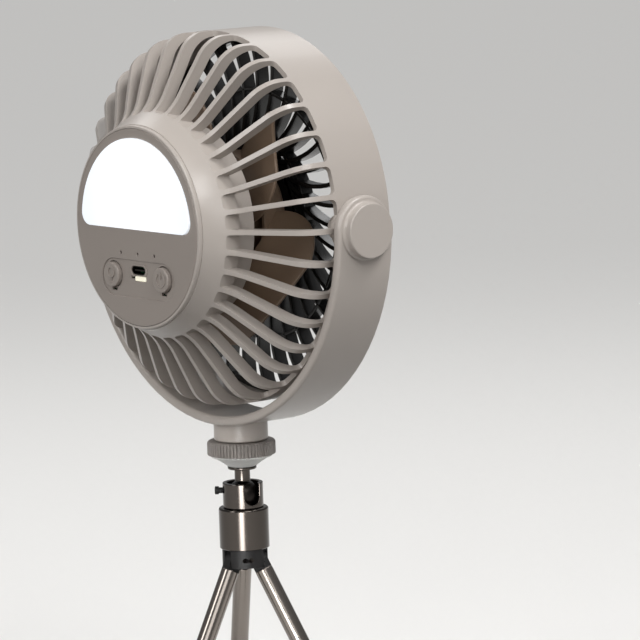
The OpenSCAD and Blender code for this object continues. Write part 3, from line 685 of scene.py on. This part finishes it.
def buildControls():
    p = panel
    buildPanel()
    # a bulb with two screw rings, and a broken circle with a stroke
    bulb = [[circle(2.3, 24, (0, 0.9)), circle(1.6, 24, (0, 0.9))], [band([(-1.1, -1.9), (1.1, -1.9)], 0.6)],
            [band([(-0.8, -2.9), (0.8, -2.9)], 0.6)]]
    power = [[band(arc((0, 0), 2.7, 125, 415, 24), 0.7)], [band([(0, 0.4), (0, 3.1)], 0.7)]]
    buildButton("lightButton", "light_button", "light_button", -1, bulb)
    buildButton("powerButton", "power_button", "power_button", 1, power)

    # plated shell with the contact tongue in it, coloured black: painted shade of the socket's deep hollow
    bm = bmesh.new()
    low, v = p["face"] - p["recessDepth"], port["at"]
    addPlate(bm, [stadium(*port["shell"], (0, v)), stadium(*port["bore"], (0, v))], low - 0.2, 3.4, 0.1, 2)
    x, y = port["tongue"]
    tongue = [(-x, v - y, 0.1), (x, v - y, 0.1), (x, v + y, 0.1), (-x, v + y, 0.1)]
    addPlate(bm, [rounded(tongue, 2)], low - 0.6, 2.8, 0.08, 1)
    makePiece("usbSocket", bm, "head", ["usb_socket"], "blackOxideAndPaintedShade", headPlace)

    # the charge window glows in the LED gel: a painted highlight for the pale patch under the socket
    bm = bmesh.new()
    left, right = p["window"][0] + 0.2, p["window"][1] - 0.2
    glass = [(left, v - 4.2, 0.3), (right, v - 4.2, 0.3), (right, v - 2.4, 0.3), (left, v - 2.4, 0.3)]
    addPlate(bm, [rounded(glass, 3)], low, 3.5, 0.15, 2)
    makePiece("chargeWindow", bm, "head", ["charge_window"], "ledGelAndPaintedGlow", headPlace)


buildControls()


# ---- yoke, its caps and washers

yoke = {"inside": 79.4, "thick": 4, "wide": 27, "edge": 1.4, "post": 10.95, "postEnd": -90.6,
        "postRound": 0.8, "postBore": 5.2, "boreTop": -82}


def buildYoke():
    # a strip with round ends, bent around the head; flat pattern is (across, along, up from the outer face)
    y = yoke
    middle = y["inside"] + y["thick"]
    quarter = math.pi * middle / 2
    half = y["wide"] / 2
    bm = bmesh.new()
    bends = [quarter * (k / 20) for k in range(21)]
    gridPatch(bm, [-half, -half * 0.5, 0, half * 0.5, half], [-b for b in reversed(bends)] + bends[1:],
              lambda u, s: (u, s, 0))
    for turn in (1, -1):
        tip = [(half * math.cos(a), turn * (quarter + half * math.sin(a)))
               for a in [math.pi * k / 32 for k in range(33)]]
        inner = [(half * share, turn * quarter) for share in (-0.5, 0, 0.5)]
        bm.faces.new([bm.verts.new((u, s, 0)) for u, s in tip + inner])
    bmesh.ops.remove_doubles(bm, verts=bm.verts, dist=0.002)
    thicken(bm, y["thick"], y["edge"], 4)
    for vert in bm.verts:
        u, s, t = vert.co
        r, beyond = middle + t, max(abs(s) - quarter, 0)
        angle = max(min(s, quarter), -quarter) / middle
        vert.co = (r * math.sin(angle), u, beyond - r * math.cos(angle))
    # post under the ring, with the turned foot where it meets the nut
    foot = y["postEnd"]
    profile = [(y["postBore"], foot), (y["post"] - y["postRound"], foot)]
    profile += arc((y["post"] - y["postRound"], foot + y["postRound"]), y["postRound"], -90, 0, 4)
    profile += [(y["post"], -y["inside"] - 2.6), (y["post"] - 2, -y["inside"] - 1.4)]
    spinProfile(bm, profile, 96)
    spinProfile(bm, [(y["postBore"], foot), (y["postBore"], y["boreTop"]), (0, y["boreTop"])], 96)
    makePiece("yokeRing", bm, "yoke", ["yoke"], "greigeAbs", stemPlace)


sideways = {-1: Matrix.Rotation(math.radians(-90), 4, "Y"), 1: Matrix.Rotation(math.radians(90), 4, "Y")}


def spinSideways(bm, profile, steps=96):
    # the same turned profile on both ends of the tilt axis
    for turn in sideways.values():
        part = bmesh.new()
        spinProfile(part, profile, steps)
        bmesh.ops.transform(part, matrix=turn, verts=part.verts)
        mesh = bpy.data.meshes.new("end")
        part.to_mesh(mesh)
        part.free()
        bm.from_mesh(mesh)
        bpy.data.meshes.remove(mesh)


cap = {"radius": 10.8, "top": 87, "edge": 0.6, "fillet": 1.2, "screwRoom": (6.2, 2.2)}
washer = {"bore": 3.1, "radius": 8.8, "low": 76.85, "high": 77.5, "edge": 0.2}
boss = {"bore": 3.65, "radius": 9, "top": 76.5, "edge": 0.4, "foot": 73, "sleeve": 5.2, "sleeveEnd": 66}


def buildCaps():
    # a round cap with a hollow fillet at its foot
    c = cap
    low = yoke["inside"] + yoke["thick"] + 0.02
    room, deep = c["screwRoom"]
    profile = [(0, low + deep), (room, low + deep), (room, low)]
    profile += arc((c["radius"] + c["fillet"], low + c["fillet"]), c["fillet"], 270, 180, 6)
    profile += arc((c["radius"] - c["edge"], c["top"] - c["edge"]), c["edge"], 0, 90, 6) + [(0, c["top"])]
    bm = bmesh.new()
    spinSideways(bm, profile, 96)
    makePiece("pivotCaps", bm, "yoke", ["pivot_caps"], "greigeAbs", stemPlace)

    bm = bmesh.new()
    w = washer
    ring = rounded([(w["bore"], w["low"], 0), (w["radius"], w["low"], w["edge"]),
                    (w["radius"], w["high"], w["edge"]), (w["bore"], w["high"], 0)], 3)
    spinSideways(bm, ring + ring[:1], 72)
    makePiece("frictionWashers", bm, "yoke", ["friction_washers"], "nylon", stemPlace)

    # bosses on the drum that turn on the pivot screws, with a sleeve inside it around the brass bush
    bm = bmesh.new()
    b = boss
    end = [(b["bore"], b["top"])] + arc((b["radius"] - b["edge"], b["top"] - b["edge"]), b["edge"], 90, 0, 3)
    end += [(b["radius"], 75.2), (b["radius"] + 0.3, 74.6), (b["radius"] + 0.3, b["foot"])]
    end += [(b["sleeve"] + 0.2, b["foot"]), (b["sleeve"], b["foot"] - 0.6)]
    end += arc((b["sleeve"] - 0.3, b["sleeveEnd"] + 0.3), 0.3, 0, -90, 3)
    end += [(b["bore"], b["sleeveEnd"]), (b["bore"], b["top"])]
    spinSideways(bm, end, 72)
    makePiece("pivotBosses", bm, "head", [], "greigeAbs", stemPlace)


buildYoke()
buildCaps()


# ---- locking nut, ball joint and body

stand = {"nutRadius": 13.85, "teeth": 60, "toothDepth": 0.6, "nutTop": -90.8, "nutLow": -96.5,
         "nutRound": 1.2, "bore": 3.3, "coneLow": -101.4, "coneTeeth": 90, "coneDepth": 0.22,
         "discRadius": 5.85, "discLow": -102.6, "neckRadius": 3.15, "ballRadius": 6.3, "ballAt": -113.3,
         "cupRadius": 8.2, "cupWall": 1.75, "cupTop": -108.1, "cupLow": -118.2, "slotHalf": 3.45,
         "slotTurn": 172, "seatRadius": 6.42, "spigot": (6, 5.6), "lockTurn": 45, "lockAt": -111.5,
         "tubeRadius": 10.1, "tubeWall": 1.05, "tubeRound": 0.9, "tubeLow": -134.9}


def buildNut():
    # grip ring: each tooth is a soft ridge that fades out at the rounded rims
    s = stand
    full, depth, top, low = s["nutRadius"], s["toothDepth"], s["nutTop"], s["nutLow"]
    tooth = math.pi / s["teeth"]
    turned = s["nutRound"]
    shape = arc((full - turned, top - turned), turned, 90, 0, 5) + [(full, -93.6), (full, low + 0.35)]
    shape += arc((full - 0.35, low + 0.35), 0.35, 0, -90, 3)
    bm = bmesh.new()

    def ridge(column, row):
        r, z = row
        groove = min(max((column - 0.5) / 0.35, 0), 1)
        cut = depth * min(max((r - 12.6) / 1, 0), 1) * (0.5 - 0.5 * math.cos(math.pi * groove))
        angle = column * tooth
        return ((r - cut) * math.cos(angle), (r - cut) * math.sin(angle), z)
    gridPatch(bm, [0, 0.3, 0.5, 0.62, 0.74, 0.85, 1], [(s["bore"], top)] + shape + [(s["bore"], low)], ridge)
    sectors(bm, s["teeth"], halves=True)
    makePiece("lockNut", bm, "lock_nut", ["lock_nut"], "nutAbs", stemPlace, 50)

    # cone under it with fine upright grooves
    bm = bmesh.new()
    tooth = math.pi / s["coneTeeth"]
    slope = [(5.5, s["coneLow"]), (5.8, s["coneLow"] + 0.05), (8.5, -99.4), (11, -97.9), (12.3, low - 0.9),
             (12.75, low - 0.45), (12.9, low)]

    def groove(column, row):
        r, z = row
        cut = s["coneDepth"] * (1 if r > 5.9 else 0) * (1 - abs(column))
        angle = column * tooth
        return ((r - cut) * math.cos(angle), (r - cut) * math.sin(angle), z)
    gridPatch(bm, [0, 0.5, 1], [(s["bore"], s["coneLow"])] + slope + [(s["bore"], low)], groove)
    sectors(bm, s["coneTeeth"], halves=True)
    makePiece("nutCone", bm, "lock_nut", ["nut_cone"], "coneAbs", stemPlace, 30)


def buildBall():
    # neck and collar in plated metal whose colour is darkened as painted reflection, and the ball under them
    # in black as painted shade of the cup's hollow
    s = stand
    bm = bmesh.new()
    neck = math.degrees(math.acos(s["neckRadius"] / s["ballRadius"]))
    ball = arc((0, s["ballAt"]), s["ballRadius"], -90, neck - 4, 32)
    blend = [(3.25, s["ballAt"] + 5.75), (3.17, s["ballAt"] + 6.2)]
    collar = [(s["neckRadius"], s["discLow"] - 0.6), (3.35, s["discLow"] - 0.2), (3.7, s["discLow"]),
              (0, s["discLow"])]
    spinProfile(bm, [(0, blend[0][1] - 1)] + blend + collar, 64)
    makePiece("ballStem", bm, "ball_stem", ["ball_stem"], "nickelPaintedDarkReflection", stemPlace)
    bm = bmesh.new()
    spinProfile(bm, ball + [(0, ball[-1][1])], 64)
    makePiece("ballHead", bm, "ball_stem", [], "blackOxideAndPaintedShade", stemPlace)

    bm = bmesh.new()
    disc = rounded([(0, s["discLow"], 0), (s["discRadius"], s["discLow"], 0.3),
                    (s["discRadius"], s["coneLow"] - 0.1, 0.3), (0, s["coneLow"] - 0.1, 0)], 4)
    spinProfile(bm, disc, 72)
    makePiece("platformDisc", bm, "ball_stem", ["platform_disc"], "nickelPaintedDarkReflection", stemPlace)


def buildCup():
    # wall of the cup as a flat strip with a U-shaped gap, rolled into a tube
    s = stand
    outside, wall = s["cupRadius"], s["cupWall"]
    half = math.pi * outside
    top, low, gap, middle = s["cupTop"], s["cupLow"] + 0.02, s["slotHalf"], s["ballAt"]
    bm = bmesh.new()
    columns = [gap + (half - gap) * k / 24 for k in range(25)]
    rows = [middle, middle + 1.7, middle + 3.4, top]
    gridPatch(bm, columns, rows, lambda u, v: (u, v, 0))
    bow = [(gap * math.cos(a), middle - gap * math.sin(a)) for a in [math.pi / 2 * k / 10 for k in range(11)]]
    for (u, v), (nextU, nextV) in zip(bow, bow[1:]):
        bm.faces.new([bm.verts.new((x, y, 0)) for x, y in ((u, v), (nextU, nextV), (nextU, low), (u, low))])
    gridPatch(bm, columns, [low, middle], lambda u, v: (u, v, 0))
    bmesh.ops.remove_doubles(bm, verts=bm.verts, dist=0.002)
    thicken(bm, wall, 0.35, 3, lambda cos: all(abs(c.x) < 0.001 for c in cos)
            or all(abs(c.x - half) < 0.001 for c in cos))
    for vert in bm.verts:
        u, v, t = vert.co
        r = outside + t
        # the gap keeps parallel walls, and the rest of the strip goes around to the far side
        angle = math.asin(min(u, gap) / r)
        angle += (math.pi - angle) * max(u - gap, 0) / (half - gap) + math.radians(s["slotTurn"])
        vert.co = (r * math.cos(angle), r * math.sin(angle), v)
    turn = Matrix.Rotation(math.radians(s["slotTurn"]), 3, "Z")
    flip = turn @ Matrix.Diagonal((1, -1, 1)) @ turn.inverted()
    twin = bmesh.ops.duplicate(bm, geom=bm.verts[:] + bm.edges[:] + bm.faces[:])["geom"]
    twin = [g for g in twin if isinstance(g, bmesh.types.BMVert)]
    bmesh.ops.transform(bm, matrix=flip.to_4x4(), verts=twin)
    # seat of the ball under the gap, and the spigot that goes into the body
    hollow, (thick, deep) = s["seatRadius"], s["spigot"]
    seat = [(0, middle - hollow)] + arc((0, middle), hollow, -70, -36, 6)
    seat += [(outside - 0.6, middle - 3.7), (outside - 0.6, low), (thick, low), (thick, low - deep)]
    seat += [(0, low - deep)]
    spinProfile(bm, seat, 64)
    makePiece("ballCup", bm, "tripod", ["ball_cup"], "nickelPaintedDarkReflection", stemPlace)

    # clamp screw: neck, cheese head and a driver slot between two half discs
    bm = bmesh.new()
    screw = rounded([(0, 10.85, 0), (1.65, 10.85, 0), (1.65, 9.8, 0.2), (1.2, 9.8, 0.1), (1.2, 8.3, 0)], 3)
    spinProfile(bm, screw + [(0.95, 8.3), (0.95, 6.6), (0, 6.6)], 32)
    for side in (0, 180):
        addPlate(bm, [arc((0, 0), 1.65, side + 9, side + 171, 16)], 11.3, 0.5, 0.12, 2)
    place = stemPlace @ Matrix.Translation((0, 0, s["lockAt"] * mm)) \
        @ Matrix.Rotation(math.radians(s["lockTurn"]), 4, "Z") @ Matrix.Rotation(math.radians(90), 4, "Y")
    makePiece("lockScrew", bm, "lock_screw", ["lock_screw"], "blackAbs", place)


def buildBody():
    s = stand
    r, top, low = s["tubeRadius"], s["cupLow"], s["tubeLow"]
    bore, turned, roof = s["spigot"][0] + 0.05, s["tubeRound"], top - 2.6
    profile = [(bore, roof), (bore, top)] + arc((r - turned, top - turned), turned, 90, 0, 6)
    inside = r - s["tubeWall"]
    profile += [(r, low + 0.25), (r - 0.25, low), (inside, low), (inside, roof), (bore, roof)]
    bm = bmesh.new()
    spinProfile(bm, profile, 96)
    makePiece("bodyTube", bm, "tripod", ["body_tube"], "nickelPaintedDarkReflection", stemPlace)


buildNut()
buildBall()
buildCup()
buildBody()


# ---- legs

leg = {"length": 100, "splay": 27, "pinRadius": 5.5, "drop": -139, "outer": 3.65, "middle": 2.95,
       "inner": 2.25, "slip": 0.08, "roll": 0.35, "top": 5.2, "middleTop": 12.4, "innerTop": 14,
       "outerEnd": 86, "middleEnd": 89.5, "innerEnd": 93, "footRadius": 4.6, "turns": (90, 210, 330)}
legNames = ("back", "left", "right")


def buildLeg(name, turn):
    # tubes with rolled-in ends, each sliding in the one above it
    g = leg
    place = stemPlace @ Matrix.Translation((0, 0, g["drop"] * mm))
    place = place @ Matrix.Rotation(math.radians(turn), 4, "Z")
    place = place @ Matrix.Translation((g["pinRadius"] * mm, 0, 0))
    place = place @ Matrix.Rotation(math.radians(-g["splay"]), 4, "Y")

    def tube(piece, body, node, r, bore, low, high):
        bm = bmesh.new()
        roll = g["roll"]
        profile = [(bore, low + 0.3)] + arc((r - roll, low + roll), roll, -90, 0, 4)
        profile += arc((r - roll, high - roll), roll, 0, 90, 4) + [(bore, high), (bore, low + 0.3)]
        spinProfile(bm, profile, 48)
        makePiece(piece, bm, body, [node], "brightNickel", place)
    title = name.capitalize()
    tube("legOuter" + title, "leg_" + name, "leg_outer_" + name, g["outer"], g["middle"] + g["slip"],
         -g["outerEnd"], -g["top"])
    tube("legMiddle" + title, "leg_" + name + "_middle", "leg_middle_" + name, g["middle"],
         g["inner"] + g["slip"], -g["middleEnd"], -g["middleTop"])
    bm = bmesh.new()
    rod, high, low = g["inner"], -g["innerTop"], -g["innerEnd"]
    spinProfile(bm, [(0, high), (rod, high), (rod, low), (0, low)], 48)
    makePiece("legInner" + title, bm, "leg_" + name + "_inner", ["leg_inner_" + name], "brightNickel",
              place)

    # rubber foot: a collar with two rings over a ball that is cut level
    bm = bmesh.new()
    wide, waist = g["outer"], g["outer"] - 0.2
    collar = [(g["inner"], -g["innerEnd"] - 0.1), (wide - 0.3, -g["innerEnd"] - 0.1), (wide, -93.4),
              (wide, -94.6), (waist, -94.8), (waist, -95.2), (wide, -95.4), (wide, -96.6)]
    ball = arc((0, -g["length"]), g["footRadius"], 46, -90, 20)
    spinProfile(bm, [(0, -93.1)] + collar + ball, 48)
    bmesh.ops.remove_doubles(bm, verts=bm.verts, dist=0.003)
    down = (place.to_3x3().inverted() @ Vector((0, 0, 1))).normalized()
    floorPoint = place.inverted() @ Vector((0, 0, 0))
    cut = bmesh.ops.bisect_plane(bm, geom=bm.verts[:] + bm.edges[:] + bm.faces[:], plane_co=floorPoint / mm,
                                 plane_no=down, clear_inner=True)["geom_cut"]
    bmesh.ops.contextual_create(bm, geom=[part for part in cut if isinstance(part, bmesh.types.BMEdge)])
    makePiece("legFoot" + title, bm, "leg_" + name + "_inner", ["leg_foot_" + name], "footRubber",
              place)


for legName, legTurn in zip(legNames, leg["turns"]):
    buildLeg(legName, legTurn)


# ---- impeller

impeller = {"hub": 26.5, "hubWall": 2, "hubFront": -7, "hubBack": 5, "hubFloor": -4.6, "boss": 17.4,
            "bossBack": 17, "bossInside": 15, "rotorSeat": 3.6, "blades": 5, "turn": 40, "tip": 52,
            "chord": 50, "camber": 75, "pitch": 27, "offset": 4.5, "thick": 1.4, "edge": 0.5,
            "outlineAt": 33.5, "outlineRadius": 21.5}


def buildImpeller():
    p = impeller
    bm = bmesh.new()
    rise = math.sqrt(p["camber"] ** 2 - p["chord"] ** 2 / 4)
    tilt = math.radians(p["pitch"])

    def surface(y):
        # height of the cambered plate at the sideways place y
        low, high = -p["chord"], p["chord"]
        for _ in range(40):
            along = (low + high) / 2
            up = math.sqrt(p["camber"] ** 2 - along ** 2) - rise
            if along * math.cos(tilt) + up * math.sin(tilt) < y:
                low = along
            else:
                high = along
        return p["offset"] + up * math.cos(tilt) - along * math.sin(tilt)

    # the outline is a round lobe between the hub wall and the tip circle
    def meets(radius):
        away, lobe = p["outlineAt"], p["outlineRadius"]
        return math.acos((radius ** 2 - away ** 2 - lobe ** 2) / (2 * away * lobe))
    first, last = meets(p["hub"] - 0.6), meets(p["tip"])

    def onBlade(a, b):
        # a runs across from -1 to 1, b from the hub to the tip
        swing = first + (last - first) * b
        x, y = p["outlineAt"] + p["outlineRadius"] * math.cos(swing), p["outlineRadius"] * math.sin(swing)
        radius, angle = math.hypot(x, y), math.atan2(y, x) * a
        return (radius * math.cos(angle), radius * math.sin(angle), surface(radius * math.sin(angle)))
    gridPatch(bm, [-1 + 2 * k / 22 for k in range(23)], [k / 20 for k in range(21)], onBlade)
    bmesh.ops.recalc_face_normals(bm, faces=bm.faces)
    bm.normal_update()
    for vert in bm.verts:
        vert.co += vert.normal * p["thick"] / 2
    bmesh.ops.solidify(bm, geom=bm.faces[:], thickness=p["thick"])
    bmesh.ops.recalc_face_normals(bm, faces=bm.faces)
    rims = [e for e in bm.edges if len(e.link_faces) == 2 and e.calc_face_angle() > math.radians(55)]
    bmesh.ops.bevel(bm, geom=rims, offset=p["edge"], segments=3, profile=0.5, affect="EDGES", material=-1,
                    clamp_overlap=True)
    bmesh.ops.rotate(bm, verts=bm.verts, matrix=Matrix.Rotation(math.radians(p["turn"]), 3, "Z"))
    sectors(bm, p["blades"])
    # front cap, its wall, and the boss around the rotor, one turned form
    hub, front, back, floor = p["hub"], p["hubFront"], p["hubBack"], p["hubFloor"]
    boss, bossBack, bossInside = p["boss"], p["bossBack"], p["bossInside"]
    form = rounded([(0, front, 0), (hub, front, 3), (hub, back, 0.4), (hub - p["hubWall"], back, 0.4),
                    (hub - p["hubWall"], floor, 0.5), (boss, floor, 0.5), (boss, bossBack, 0.5),
                    (bossInside, bossBack, 0.4), (bossInside, p["rotorSeat"], 0), (0, p["rotorSeat"], 0)], 5)
    spinProfile(bm, form, 96)
    makePiece("fanImpeller", bm, "impeller", ["impeller"], "bladePp", headPlace)


buildImpeller()


# ---- outlet grille

grille = {"front": -19, "bars": 36, "turn": 8.1, "barArc": 45, "barArcAt": 67.3, "barTo": 71.2, "wide": 1.8,
          "deep": 6, "rings": (31, 51), "ringWide": 1.6, "centre": 25, "seat": 72.75, "seatWall": 2.6,
          "seatDeep": 5}


def buildGrille():
    # curved bars that leave the centre on a swirl and lean back towards the rim
    g = grille
    low = g["front"] + 1
    bm = bmesh.new()
    radius, away = g["barArc"] - g["wide"] / 2, g["barArcAt"]
    last = math.degrees(math.acos((away ** 2 + radius ** 2 - g["barTo"] ** 2) / (2 * away * radius)))
    line = arc((away, 0), radius, 180, 180 + last, 14)
    addPlate(bm, [band(line, g["wide"])], low + g["deep"], g["deep"], 0.4, 2)
    bmesh.ops.rotate(bm, verts=bm.verts, matrix=Matrix.Rotation(math.radians(g["turn"]), 3, "Z"))
    sectors(bm, g["bars"])
    for r in g["rings"]:
        ring = rounded([(r - g["ringWide"], low, 0.5), (r, low, 0.5), (r, low + g["deep"], 0.5),
                        (r - g["ringWide"], low + g["deep"], 0.5)], 3)
        spinProfile(bm, ring + ring[:1], 120)
    seat = g["seat"]
    back = g["front"] + g["seatDeep"]
    rim = rounded([(seat - g["seatWall"], g["front"], 0.9), (seat, g["front"], 0.3), (seat, back, 0.3),
                   (seat - g["seatWall"], back, 0.5)], 4)
    spinProfile(bm, rim + rim[:1], 144)
    hub = [(0, g["front"] + 0.4), (17, g["front"] + 0.4), (20, g["front"] + 0.75)]
    hub += rounded([(g["centre"], low, 0.6), (g["centre"], low + g["deep"], 0.6), (0, low + g["deep"], 0)], 4)
    spinProfile(bm, hub, 96)
    makePiece("outletGrille", bm, "head", ["front_grille"], "grilleAbs", headPlace)


buildGrille()
